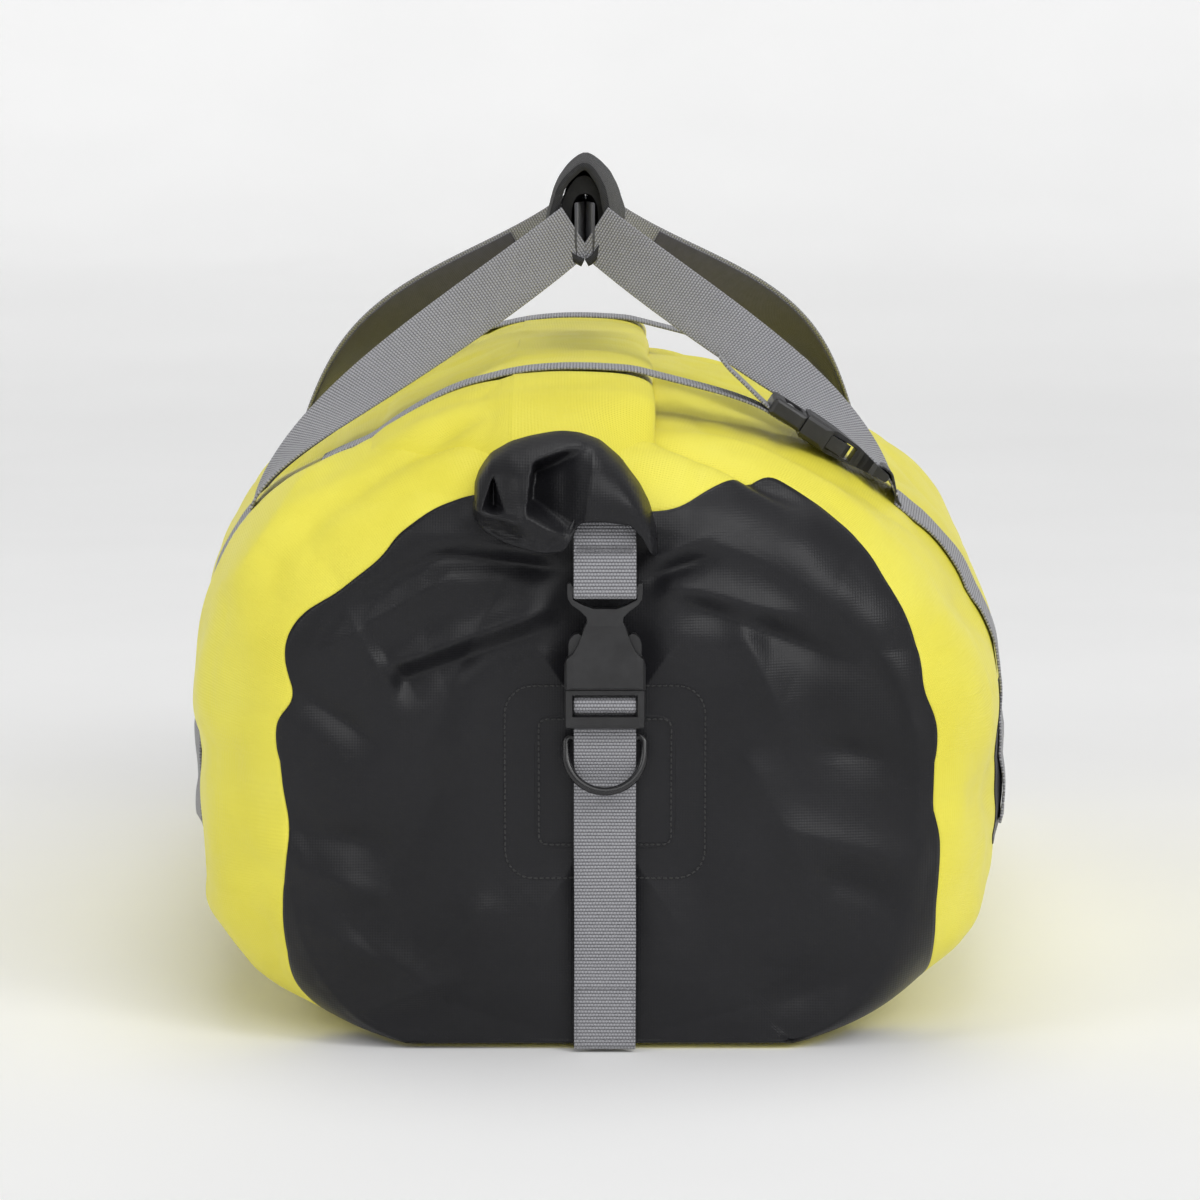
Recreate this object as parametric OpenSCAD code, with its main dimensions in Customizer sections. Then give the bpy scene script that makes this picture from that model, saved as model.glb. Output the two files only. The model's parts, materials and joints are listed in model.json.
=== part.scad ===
// Roll-top dry duffel: a welded tarpaulin tube whose long mouth is rolled shut along the top,
// held by a buckled strap at each end and by two straps across it, with a pair of carrying handles.
// Frame: X across the bag, Y along it, Z up, origin on the floor under the middle.

/* [Body] */
// Length of the tube between its end panels
body_l = 516; // [440:2:600]
// Widest part of the tube
body_w = 358; // [320:2:400]
// Height of the tube under the rolled mouth
body_h = 254; // [236:2:280]
// Height of the widest line above the floor
belly_z = 119; // [105:1:130]
// Thickness of the coated fabric with its seams
skin_t = 2.4; // [1.6:0.2:3]

/* [Mouth roll] */
// Centre of the roll, across the bag
roll_x = -14.5; // [-20:0.5:-8]
// Width of the flattened roll
roll_w = 73; // [66:1:80]
// Number of turns of the roll
roll_turns = 3; // [2:1:3]

/* [Straps] */
// Width of the webbing
web_w = 25; // [24:0.5:25.5]
// Thickness of the webbing
web_t = 1.2; // [1:0.1:1.3]
// Distance of each cross strap from the middle
cross_y = 150; // [130:5:160]
// Height of the seam between the two halves of each end buckle
seam_z = 151; // [146:1:156]

/* [Handles] */
// Top of the grip above the floor
grip_top = 352; // [344:1:380]
// Length of the grip
grip_l = 120; // [100:2:140]

/* [Hidden] */
$fn = 32;
end_names = ["front", "rear"];
cross_names = ["fore", "aft"];
end_nodes = ["end_panel", "roll_end", "outer_patch", "inner_patch", "closure_strap", "d_ring_loop",
    "d_ring", "buckle_male", "buckle_left_arm", "buckle_right_arm", "buckle_female", "buckle_loop",
    "left_leg", "right_leg", "left_lining", "right_lining"];
cross_nodes = ["cross_strap", "cross_male", "cross_left_arm", "cross_right_arm", "cross_female", "cross_anchor"];

YELLOW = "gold";
BLACK = "dimgray";
GREY = "darkgray";
half_l = body_l / 2;
panel_t = 2.2;
panel_y = half_l + 0.2 + panel_t;   // outer face of each end panel
strap_x = 2;                        // centre of the end straps
end_corner = 43;                    // how far in from the end the shoulders start to round over
side_taper = 26.5;
top_taper = 12;
slit = [-19.5, -9.5];               // the mouth between the two lips

// ---------- shape of the filled body ----------
function end_share(y) = min(1, abs(y) / half_l);
function corner_drop(y) = 1 - sqrt(1 - pow(0.92 * max(0, 1 - (half_l - abs(y)) / end_corner), 2));
function half_w(y) = body_w / 2 - side_taper * pow(end_share(y), 2) - 30 * corner_drop(y);
function top_z(y) = body_h - top_taper * pow(end_share(y), 2) - 33 * corner_drop(y);
function base_z(y) = 4 * corner_drop(y);
// The left shoulder is fuller than the right one.
function roundness(y, right) = 2.62 - 0.5 * pow(end_share(y), 2) + (right ? -0.18 : 0.2);
function bottom_shape(y, s, d) =
    max(base_z(y) - d, belly_z - (belly_z + 4 + d) * pow(abs(s), 2 / 3.4));
// A point of the section at y: t is the angle round it and d the distance outside the skin.
function section(y, t, d = 0) =
    let (c = cos(t), s = sin(t), n = s > 0 ? roundness(y, c > 0) : 3.4)
    [(half_w(y) + d) * sign(c) * pow(abs(c), 2 / n),
     s > 0 ? belly_z + (top_z(y) + d - belly_z) * pow(s, 2 / n) : bottom_shape(y, s, d)];
function surface_z(y, x, d = 0) =
    let (n = roundness(y, x > 0))
    belly_z + (top_z(y) + d - belly_z) * pow(1 - pow(abs(x) / (half_w(y) + d), n), 1 / n);
function angle_at_x(y, x) = acos(sign(x) * pow(abs(x) / half_w(y), roundness(y, x > 0) / 2));
function angle_at_z(y, z, right) = asin(pow((z - belly_z) / (top_z(y) - belly_z), roundness(y, right) / 2));

// ---------- helpers ----------
function unit(v) = v / norm(v);
function turned(v) = [-v[1], v[0]];
function normal_at(p, i) =
    let (a = unit(p[max(i, 1)] - p[max(i, 1) - 1]),
         b = unit(p[min(i + 1, len(p) - 1)] - p[min(i + 1, len(p) - 1) - 1]),
         m = unit(a + b))
    turned(m) / max(0.5, m * a);
function beside(p, d) = [for (i = [0 : len(p) - 1]) p[i] + d * normal_at(p, i)];
function backward(p) = [for (i = [len(p) - 1 : -1 : 0]) p[i]];
function arc(c, r, from, to, steps) =
    [for (i = [0 : steps]) let (a = from + (to - from) * i / steps) c + r * [cos(a), sin(a)]];
function mirrored(p) = concat(p, [for (q = backward(p)) [-q[0], q[1]]]);

module band(path, t) polygon(concat(beside(path, t / 2), backward(beside(path, -t / 2))));
// Profiles drawn in the YZ plane, as wide as w along X, and in the XZ plane, as long as w along Y.
module across_x(w, x = 0) translate([x, 0, 0]) rotate([90, 0, 90]) linear_extrude(w, center = true) children();
module across_y(w, y = 0) translate([0, y, 0]) rotate([90, 0, 0]) linear_extrude(w, center = true) children();
module at_end(e) { if (e == 0) children(); else mirror([0, 1, 0]) children(); }
function at_front(p) = [for (q = p) [-panel_y - q[0], q[1]]];

// A closed solid lofted through rings of the same number of points.
module loft(rings) {
    n = len(rings[0]);
    k = len(rings);
    sides = [for (i = [0 : k - 2]) for (j = [0 : n - 1])
        let (a = i * n + j, b = i * n + (j + 1) % n) each [[a, b, b + n], [a, b + n, a + n]]];
    // Each cap runs between the first and the second half of its ring, which face each other.
    caps = [for (j = [0 : n / 2 - 2]) let (q = n - 1 - j, l = (k - 1) * n)
        each [[j, q, q - 1], [j, q - 1, j + 1], [l + j, l + q - 1, l + q], [l + j, l + j + 1, l + q - 1]]];
    polyhedron([for (r = rings) each r], concat(sides, caps));
}
function shell_ring(y, angles, d0, d1) = concat(
    [for (t = angles) let (q = section(y, t, d1)) [q[0], y, q[1]]],
    [for (t = backward(angles)) let (q = section(y, t, d0)) [q[0], y, q[1]]]);
// A piece of skin or webbing that lies on the body between distances d0 and d1 outside it.
module on_skin(ys, angles, d0, d1) loft([for (y = ys) shell_ring(y, angles, d0, d1)]);

// ---------- body ----------
module body_tube() {
    steps = 44;
    stations = [for (i = [0 : 18]) half_l * sin(-90 + 10 * i)];
    color(YELLOW) loft([for (y = stations)
        let (from = angle_at_x(y, slit[0]), to = 360 + angle_at_x(y, slit[1]))
        shell_ring(y, [for (j = [0 : steps]) from + (to - from) * j / steps], -skin_t, 0)]);
}

module end_panel(e) color(BLACK) at_end(e)
    translate([0, -half_l - 0.2, 0]) rotate([90, 0, 0]) linear_extrude(panel_t)
        polygon([for (t = [0 : 7.5 : 359]) section(half_l, t, 0)]);

roll_r = 8;
roll_pitch = 2.3;
roll_flat = roll_w / 2 - roll_r;
roll_z = body_h + 0.5 + roll_r;
roll_end_y = half_l - 8;
roll_level_y = half_l - 93;         // the roll is level as far as here and then sinks towards its hood
roll_sink = 18;
function roll_drop(y) = roll_sink * pow(max(0, (abs(y) - roll_level_y) / (roll_end_y - roll_level_y)), 1.8);
function roll_point(a) =
    let (r = roll_r - 0.8 - roll_pitch * (roll_turns - a / 360)) [(cos(a) < 0 ? -1 : 1) * roll_flat + r * cos(a), r * sin(a)];

module mouth_roll() {
    spiral = [for (a = [0 : 30 : 360 * roll_turns]) roll_point(a + 0.01)];
    wall = concat(beside(spiral, 0.8), backward(beside(spiral, -0.8)));
    ends = [0, 0.25, 0.5, 0.75, 1];
    stations = concat([for (k = backward(ends)) -roll_level_y - k * (roll_end_y - roll_level_y)],
        [for (k = ends) roll_level_y + k * (roll_end_y - roll_level_y)]);
    color(YELLOW) loft([for (y = stations) [for (q = wall) [roll_x + q[0], y, roll_z - roll_drop(y) + q[1]]]]);
}

module lip_stiffener() color(BLACK)
    translate([roll_x, 0, roll_z - 0.55]) cube([roll_w - 30, 2 * roll_level_y - 8, 0.4], center = true);

// Hood of the rolled mouth, folded down over the end panel and open underneath.
module roll_end(e) color(BLACK) at_end(e) {
    out = 20.8;
    wall = 3.2;
    top = roll_z + roll_r - roll_sink;
    across_x(roll_w, roll_x) polygon([
        [-roll_end_y - 0.3, top], [-panel_y, top - 1.5], [-panel_y - 10, top - 5], [-panel_y - 16, top - 8.5],
        [-panel_y - out + 1, top - 13], [-panel_y - out, top - 19], [-panel_y - out, 203], [-panel_y - out + 1, 201],
        [-panel_y - out + wall, 201], [-panel_y - out + wall, top - 16], [-panel_y - 15.5, top - 11.2],
        [-panel_y - 10, top - 9.5], [-panel_y - 2, top - 8], [-panel_y + 4, top - 11], [-roll_end_y - 0.3, top - 11]]);
}

module rounded_plate(w, h, r) polygon(concat(
    arc([w / 2 - r, h / 2 - r], r, 0, 90, 6), arc([r - w / 2, h / 2 - r], r, 90, 180, 6),
    arc([r - w / 2, r - h / 2], r, 180, 270, 6), arc([w / 2 - r, r - h / 2], r, 270, 360, 6)));

module patch(e, w, h, r, out, t) color(BLACK) at_end(e)
    translate([strap_x, -panel_y - out, 111]) rotate([90, 0, 0]) linear_extrude(t) rounded_plate(w, h, r);
module outer_patch(e) patch(e, 85, 83, 13, 0.1, 0.9);
module inner_patch(e) patch(e, 57, 55, 4, 1.1, 0.9);

// ---------- end strap ----------
buckle_out = 12.8;                  // middle of the buckle, outwards from the end panel
bar_out = 5.15;                     // straight bar of the D-ring
bar_z = 130;

// One length of webbing: sewn to the patch, up behind the buckle, round its middle bar and down as the free tail.
module closure_strap(e) color(GREY) at_end(e) {
    across_x(web_w, strap_x) polygon(at_front(concat(
        beside(strap_route(), web_t / 2), backward(beside(strap_route(), -web_t / 2)))));
    across_x(web_w, strap_x) translate([-panel_y - 7.3, 1.6]) square([2.3, 27]);
}
function strap_route() = [[2.8, 85], [2.8, 106], [3.4, 111], [5, 117], [9, 126], [9, seam_z - 5.2],
    [10.4, seam_z - 3.5], [13.8, seam_z - 3.5], [15.2, seam_z - 5], [15.2, seam_z - 8.2], [13.8, seam_z - 9.6],
    [11.6, seam_z - 9.6], [10.4, seam_z - 10.8], [10.4, 125.5], [7.3, 116], [5.8, 105], [5.7, 1.6]];

module d_ring_loop(e) color(GREY) at_end(e)
    across_x(web_w, strap_x) polygon(at_front(let (p = concat([[2.7, 148]], arc([bar_out, bar_z], 2.5, 180, 360, 6),
        [[7.3, 133.5], [4.2, 139], [4.1, 148]])) concat(beside(p, 0.55), backward(beside(p, -0.55)))));

ring_r = 1.7;
ring_w = 31.4;                      // between the centres of the ring's sides
ring_side = 4;
ring_tilt = 22;
module d_ring(e) color(BLACK) at_end(e)
    translate([strap_x, -panel_y - bar_out, bar_z]) rotate([-ring_tilt, 0, 0]) {
        corner = 2.6;
        rotate([0, 90, 0]) cylinder(h = ring_w - 2 * corner, r = ring_r, center = true);
        for (s = [0, 1]) mirror([s, 0, 0]) {
            translate([ring_w / 2 - corner, 0, -corner]) rotate([90, 0, 0])
                rotate_extrude(angle = 90) translate([corner, 0]) circle(r = ring_r);
            translate([ring_w / 2, 0, -corner - ring_side]) cylinder(h = ring_side, r = ring_r);
        }
        translate([0, 0, -corner - ring_side]) rotate([-90, 0, 0])
            rotate_extrude(angle = 180) translate([ring_w / 2, 0]) circle(r = ring_r);
    }

// ---------- side-release buckle: x across, y from the male half to the female half, z outwards ----------
module buckle_block(outline, side, front) intersection() {
    translate([0, 0, -8]) linear_extrude(16) polygon(outline);
    rotate([90, 0, 90]) linear_extrude(40, center = true) polygon(side);
    rotate([90, 0, 0]) linear_extrude(120, center = true) polygon(front);
}
module buckle_female() {
    outline = mirrored([[16.3, 0.2], [16.3, 9.5], [15.4, 12.4], [12.6, 15], [10.4, 19], [8.4, 24.5], [7.1, 27.6],
        [7.4, 29.4], [9.8, 31.8], [13.2, 34.2], [14.7, 36.4], [15.1, 39.4], [15, 42.6], [14.2, 43.2], [13.3, 42.6],
        [13, 41.6]]);
    side = concat([[0.2, -4.6], [1.2, -5.5], [14, -5.5], [26, -4.2], [35, -2.4], [42.4, -1.7], [43.2, -0.8]],
        [[43.2, 0.8], [42.4, 1.7], [35, 2.8], [26, 4.6], [14, 5.5], [1.2, 5.5], [0.2, 4.6]]);
    front = mirrored([[12.6, -5.5], [15.2, -4.9], [16.3, -3.4], [16.3, 3.4], [15.2, 4.9], [12.6, 5.5]]);
    color(BLACK) difference() {
        buckle_block(outline, side, front);
        translate([-14.8, -1, -3.3]) cube([29.6, 26.6, 6.6]);
        translate([0, 0, -8]) linear_extrude(16) polygon(mirrored([[4.6, 32.6], [8.6, 34], [12.8, 36.2], [12.9, 38.3]]));
    }
}
module buckle_male() {
    outline = mirrored([[13.6, -15.9], [15.4, -15.4], [16.2, -14], [16.2, -1.2], [15.6, -0.1]]);
    side = [[-15.9, -2.6], [-14.8, -3.9], [-0.1, -3.9], [-0.1, 3.9], [-14, 3.9], [-15.4, 3.2], [-15.9, 1.8]];
    front = mirrored([[13.6, -3.9], [15.6, -3.4], [16.2, -2.4], [16.2, 2.4], [15.6, 3.4], [13.6, 3.9]]);
    color(BLACK) {
        difference() {
            buckle_block(outline, side, front);
            for (y = [-4.9, -11]) translate([-13.1, y, -6]) cube([26.2, 2.8, 12]);
            translate([-13.1, -17, -6]) cube([26.2, 15, 4.5]);
            translate([-13.1, -8.3, 1.5]) cube([26.2, 3.5, 6]);
        }
        translate([0, 0, -2.6]) linear_extrude(5.2) polygon(mirrored([[3.2, -0.5], [3, 15], [2.2, 19], [0.8, 20]]));
    }
}
// The arm on the +x side. The other one is its mirror image.
module buckle_arm() color(BLACK) translate([0, 0, -3]) linear_extrude(6)
    polygon([[9.6, 0.1], [12.6, 0.1], [12.5, 8.6], [13.2, 10.2], [14.6, 11.2], [14.6, 18.6], [13.9, 20.6],
        [12.4, 22.2], [10.6, 22.6], [9, 21.6], [8.4, 19.6], [9.1, 15], [9.6, 9]]);

module end_buckle(e) at_end(e) translate([strap_x, -panel_y - buckle_out, seam_z]) rotate([90, 0, 0]) children();

female_bar = 40.2;                  // bar of the female half, from the seam between the halves

// Webbing loop sewn inside the hood, which holds the female half by its bar.
module buckle_loop(e) color(GREY) at_end(e)
    across_x(web_w, strap_x) polygon(at_front(let (b = seam_z + female_bar, c = buckle_out,
        p = [[c - 0.7, 213], [c - 0.7, 203], [c - 3.1, 197], [c - 3.1, b - 2.2], [c - 2, b - 3.3], [c + 2, b - 3.3],
            [c + 3.1, b - 2.2], [c + 3.1, 197], [c + 0.7, 203], [c + 0.7, 213]])
        concat(beside(p, web_t / 2), backward(beside(p, -web_t / 2)))));

// ---------- straps across the roll ----------
cross_seam = [86, 246.5];
cross_tilt = 33;
module cross_place(e) translate([cross_seam[0], e == 0 ? -cross_y : cross_y, cross_seam[1]])
    rotate([0, cross_tilt, 0]) rotate([0, 0, -90]) children();
function cross_point(along, out) = cross_seam
    + along * [cos(cross_tilt), -sin(cross_tilt)] + out * [sin(cross_tilt), cos(cross_tilt)];
cross_top = roll_z + roll_r + 1.2;
module cross_strap(e) color(GREY) across_y(web_w, e == 0 ? -cross_y : cross_y)
    band(concat(
        [for (x = [-118, -104, -90, -74]) [x, surface_z(cross_y - web_w / 2, x, 1.6)]],
        [[-53, cross_top - 8], [-44, cross_top - 0.6], [-36, cross_top], [12, cross_top], [20, cross_top - 1.6]],
        [cross_point(-24, -3.9), cross_point(-5, -3.9), cross_point(-3.5, -2.4), cross_point(-3.5, 1),
         cross_point(-5, 2.4), cross_point(-8.2, 2.4), cross_point(-9.6, 1), cross_point(-9.6, -1.2),
         cross_point(-10.8, -2.4), cross_point(-17, -2.2), cross_point(-30, 0.5), cross_point(-46, 2.2),
         cross_point(-51, 5), cross_point(-52, 9)]), web_t);
module cross_anchor(e) color(BLACK) across_y(web_w - 0.4, e == 0 ? -cross_y : cross_y)
    band(let (b = female_bar) [[126.5, surface_z(cross_y - web_w / 2, 126.5, 1.6)], cross_point(b + 4.6, 1.6),
        cross_point(b + 2.8, 3.1), cross_point(b - 2.2, 3.1), cross_point(b - 3.3, 2), cross_point(b - 3.3, -1.4)], 1.1);

// ---------- handles ----------
grip_x = -6.8;
web_mid_z = grip_top - 28;          // middle of the webbing inside the grip
base_low = -10;                     // angle where the sewn webbing ends, low on the side
function base_angle(right) = angle_at_z(cross_y, right ? 211 : 207, right);
function side_angles(right, from, to, steps) =
    [for (i = [0 : steps]) let (a = from + (to - from) * i / steps) right ? a : 180 - a];
module side_strips(right, w, from, to, steps, d0, d1) for (y = [-cross_y, cross_y])
    on_skin([y - w / 2, y, y + w / 2], side_angles(right, from, to, steps), d0, d1);
module side_patches(right) color(BLACK) side_strips(right, 44, base_low - 3, base_low + 14, 5, 0.3, 1.1);
module handle_base(right) color(GREY) side_strips(right, web_w, base_low, base_angle(right), 10, 1.5, 1.5 + web_t);

function leg_root(right) = let (a = base_angle(right), q = section(cross_y, right ? a : 180 - a, 2.1))
    [q[0], -cross_y, q[1]];
function leg_top(right) = [grip_x + (right ? 4 : -4), -grip_l / 2 - 4.2, web_mid_z];
function bezier(p, t) = pow(1 - t, 3) * p[0] + 3 * t * pow(1 - t, 2) * p[1] + 3 * t * t * (1 - t) * p[2] + pow(t, 3) * p[3];
function leg_route(right) = let (m = right ? 1 : -1, a = leg_root(right), b = leg_top(right))
    [a + [0, 0, 0.6], a + [-m * 14, 4, 44], b + [m * 52, -26, -36], b];
// Faces of the webbing: flat on the side of the bag at the root, upright and edge to edge at the grip.
function leg_frame(right, t) =
    let (p = leg_route(right), d = unit(bezier(p, min(1, t + 0.01)) - bezier(p, min(1, t + 0.01) - 0.01)),
         raw = [0, cos(90 * t), sin(90 * t)], w = unit(raw - (raw * d) * d))
    [bezier(p, t), w, cross(d, w) * (right ? -1 : 1)];
function leg_ring(right, t, w, d0, d1) = let (f = leg_frame(right, t))
    [f[0] - f[1] * w / 2 + f[2] * d1, f[0] + f[1] * w / 2 + f[2] * d1,
     f[0] + f[1] * w / 2 + f[2] * d0, f[0] - f[1] * w / 2 + f[2] * d0];
leg_steps = 40;
module leg(e, right) color(GREY) at_end(e)
    loft([for (i = [0 : leg_steps]) leg_ring(right, i / leg_steps, web_w, -web_t / 2, web_t / 2)]);
// Smooth strip sewn to the face of the leg that is turned to the hand.
module lining(e, right) color(BLACK) at_end(e)
    loft([for (i = [6 : leg_steps - 6]) leg_ring(right, i / leg_steps, 21, -web_t / 2 - 1.6, -web_t / 2 - 0.8)]);

module grip_web(right) color(GREY)
    translate([grip_x + (right ? 4 : -4), 0, web_mid_z]) cube([web_t, grip_l, web_w - 1], center = true);

// The grip's section, from its middle: a drop with its point up, seamed underneath.
side_low = [-13.5, grip_top - 27];
side_high = [-5.5, grip_top - 5.5];
side_dir = unit(side_high - side_low);
side_out = turned(side_dir);
side_turn = atan2(side_dir[1], side_dir[0]);
cover_half = [[-1.8, grip_top - 43.9], [-8, grip_top - 39], [-12.8, grip_top - 33], side_low, side_high, [-2.2, grip_top - 1.9]];
module grip_cover() color(BLACK) across_y(grip_l) translate([grip_x, 0])
    band(concat(cover_half, [for (q = backward(cover_half)) [-q[0], q[1]]]), 2);
foam_half = [side_low - 2.5 * side_out, side_high - 2.5 * side_out - [0.4, 1], [-0.9, grip_top - 6.6]];
module grip_foam() color(GREY) across_y(grip_l - 6) translate([grip_x, 0])
    band(concat(foam_half, [for (q = backward(foam_half)) [-q[0], q[1]]]), 2.6);
// A slab on the grip's left slope: from a to b up the slope and from c to d outside the middle of the cover.
module on_grip(a, b, c, d, l) across_y(l) translate([grip_x, 0]) translate(side_low)
    rotate(side_turn) translate([a, c]) square([b - a, d - c]);
flap_l = 90;
module loop_strip() color(BLACK) on_grip(1, 18.5, 1.1, 1.9, flap_l - 8);
module hook_strip() color(BLACK) on_grip(2, 18, 2.1, 2.9, flap_l - 12);
module grip_flap() color(BLACK) {
    on_grip(0, 21.5, 3, 4.4, flap_l);
    on_grip(19.2, 21.5, 1.4, 3.2, flap_l);
}

// ---------- drawing ----------
body_tube();
mouth_roll();
lip_stiffener();
for (e = [0, 1]) {
    n = str(end_names[e], "_");
    end_panel(e);
    roll_end(e);
    outer_patch(e);
    inner_patch(e);
    closure_strap(e);
    d_ring_loop(e);
    d_ring(e);
    end_buckle(e) buckle_male();
    end_buckle(e) mirror([1, 0, 0]) buckle_arm();
    end_buckle(e) buckle_arm();
    end_buckle(e) buckle_female();
    buckle_loop(e);
    leg(e, false);
    leg(e, true);
    lining(e, false);
    lining(e, true);
}
for (e = [0, 1]) {
    n = str(cross_names[e], "_");
    cross_strap(e);
    cross_place(e) buckle_male();
    cross_place(e) mirror([1, 0, 0]) buckle_arm();
    cross_place(e) buckle_arm();
    cross_place(e) buckle_female();
    cross_anchor(e);
}
handle_base(false);  // left_handle_base
handle_base(true);  // right_handle_base
side_patches(false);  // left_side_patches
side_patches(true);  // right_side_patches
grip_web(false);  // left_grip_web
grip_web(true);  // right_grip_web
grip_cover();
grip_foam();
grip_flap();
hook_strip();
loop_strip();
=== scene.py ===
import json
import math

import bmesh
import bpy
import numpy as np
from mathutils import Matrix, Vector

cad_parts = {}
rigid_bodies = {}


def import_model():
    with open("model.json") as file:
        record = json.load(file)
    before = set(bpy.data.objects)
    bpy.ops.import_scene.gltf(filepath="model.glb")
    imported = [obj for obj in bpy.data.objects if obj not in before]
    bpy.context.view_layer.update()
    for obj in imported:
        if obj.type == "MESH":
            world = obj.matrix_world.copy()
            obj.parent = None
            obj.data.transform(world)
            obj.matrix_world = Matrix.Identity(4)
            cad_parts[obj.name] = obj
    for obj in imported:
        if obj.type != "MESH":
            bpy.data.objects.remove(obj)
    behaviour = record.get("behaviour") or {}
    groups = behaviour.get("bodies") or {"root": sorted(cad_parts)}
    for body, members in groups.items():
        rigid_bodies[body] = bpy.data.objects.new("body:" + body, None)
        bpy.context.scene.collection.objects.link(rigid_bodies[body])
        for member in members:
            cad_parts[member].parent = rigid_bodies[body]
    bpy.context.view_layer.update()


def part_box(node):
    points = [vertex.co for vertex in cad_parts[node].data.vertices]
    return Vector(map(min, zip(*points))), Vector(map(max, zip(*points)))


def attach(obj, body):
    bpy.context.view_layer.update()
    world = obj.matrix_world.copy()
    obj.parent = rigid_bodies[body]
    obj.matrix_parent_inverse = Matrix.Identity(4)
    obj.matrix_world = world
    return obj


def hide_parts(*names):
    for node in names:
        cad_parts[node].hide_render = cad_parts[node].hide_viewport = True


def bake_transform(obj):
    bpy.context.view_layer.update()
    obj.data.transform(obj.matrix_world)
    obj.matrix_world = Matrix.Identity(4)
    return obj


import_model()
MM = 0.001


# ---------- camera ----------
def make_camera():
    """Looks along the bag from its front end, from just above the grip."""
    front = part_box("front_buckle_female")[0].y
    away, height, below_level, lens = 1.647, 0.42, 8.03, 125.4
    data = bpy.data.cameras.new("camera")
    data.lens = lens
    cam = bpy.data.objects.new("camera", data)
    bpy.context.scene.collection.objects.link(cam)
    cam.location = (0, front - away, height)
    cam.rotation_euler = (math.radians(90 - below_level), 0, 0)
    bpy.context.scene.camera = cam


make_camera()


# ---------- smooth noise, the same on every run ----------
def lattice(ix, iy, iz, seed):
    """A number from -1 to 1 for each lattice point."""
    h = (ix * 374761393 + iy * 668265263 + iz * 2147483647 + seed * 144665) & 0xFFFFFFFF
    h = ((h ^ (h >> 13)) * 1274126177) & 0xFFFFFFFF
    return ((h ^ (h >> 16)) & 0xFFFF) / 32767.5 - 1


def noise(p, size, seed):
    """Smooth value noise at the points p, with features of about the given size in metres."""
    q = p / np.asarray(size)
    i = np.floor(q).astype(np.int64)
    f = q - i
    f = f * f * f * (f * (f * 6 - 15) + 10)
    total = 0
    for dx in (0, 1):
        for dy in (0, 1):
            for dz in (0, 1):
                w = (np.where(dx, f[..., 0], 1 - f[..., 0]) * np.where(dy, f[..., 1], 1 - f[..., 1])
                     * np.where(dz, f[..., 2], 1 - f[..., 2]))
                total = total + w * lattice(i[..., 0] + dx, i[..., 1] + dy, i[..., 2] + dz, seed)
    return total


def crumple(p, size, seed):
    """Flat facets with sharp creases between them, from 0 in a crease to about 1."""
    return np.abs(noise(p, size, seed) + 0.5 * noise(p, np.asarray(size) * 0.52, seed + 7))


def step(x, a, b):
    """A smooth rise from 0 at a to 1 at b."""
    t = np.clip((x - a) / (b - a), 0, 1)
    return t * t * (3 - 2 * t)


def unit(v):
    return v / np.maximum(np.linalg.norm(v, axis=-1, keepdims=True), 1e-12)


def length_along(p):
    """Distance of each point of the line p from its start."""
    return np.concatenate([[0], np.cumsum(np.linalg.norm(np.diff(p, axis=0), axis=1))])


def points_at(p, at):
    """The points that lie at the given distances along the line p."""
    run = length_along(p)
    return np.stack([np.interp(at, run, p[:, c]) for c in range(p.shape[1])], axis=1)


def curve(points, n, closed=False):
    """n points on a smooth curve through the given ones, evenly spread by length."""
    p = np.array(points, float)
    k = len(p)
    idx = np.arange(k if closed else k - 1)
    out = []
    for a in idx:
        p0, p1, p2, p3 = (p[(a + o) % k] if closed else p[min(max(a + o, 0), k - 1)] for o in (-1, 0, 1, 2))
        t = np.linspace(0, 1, 24, endpoint=False)[:, None]
        out.append(0.5 * (2 * p1 + (p2 - p0) * t + (2 * p0 - 5 * p1 + 4 * p2 - p3) * t ** 2
                          + (3 * p1 - p0 - 3 * p2 + p3) * t ** 3))
    out = np.vstack(out + [p[:1] if closed else p[-1:]])
    return points_at(out, np.linspace(0, length_along(out)[-1], n, endpoint=not closed))


# ---------- the filled body as one surface ----------
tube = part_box("body_tube")
HALF_L = tube[1].y
BODY_W = tube[1].x
BODY_H = tube[1].z
STRAP_Y = 0.15                             # cross straps and handles, from the middle of the bag
BELLY = 0.119                              # height of the widest line
CORNER_FROM = HALF_L - 0.043               # where the rounding into an end begins
CORNER_R = 0.0462
END_Y = 0.2603                             # the flat of an end
CAP_LEN = 0.12                             # along the skin, from the rounding to the middle of an end
CAP_MIDDLE = np.array([0.002, 0.112])
S_RING = CORNER_FROM + CORNER_R * math.pi / 2
S_MIDDLE = S_RING + CAP_LEN


def section(y, drop, theta):
    """The CAD section: y along the bag, drop from 0 to 1 round the end's corner, theta round the section."""
    share = np.minimum(1, np.abs(y) / HALF_L)
    half_w = BODY_W - 0.0265 * share ** 2 - 0.030 * drop
    top = BODY_H - 0.012 * share ** 2 - 0.033 * drop
    low = 0.004 * drop
    c, s = np.cos(theta), np.sin(theta)
    upper = 2.62 - 0.5 * share ** 2 + np.where(c > 0, -0.18, 0.2)
    n = np.where(s > 0, upper, 3.4)
    x = half_w * np.sign(c) * np.abs(c) ** (2 / n)
    z = np.where(s > 0, BELLY + (top - BELLY) * np.abs(s) ** (2 / n),
                 np.maximum(low, BELLY - (BELLY + 0.004) * np.abs(s) ** (2 / 3.4)))
    return x, z


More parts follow.
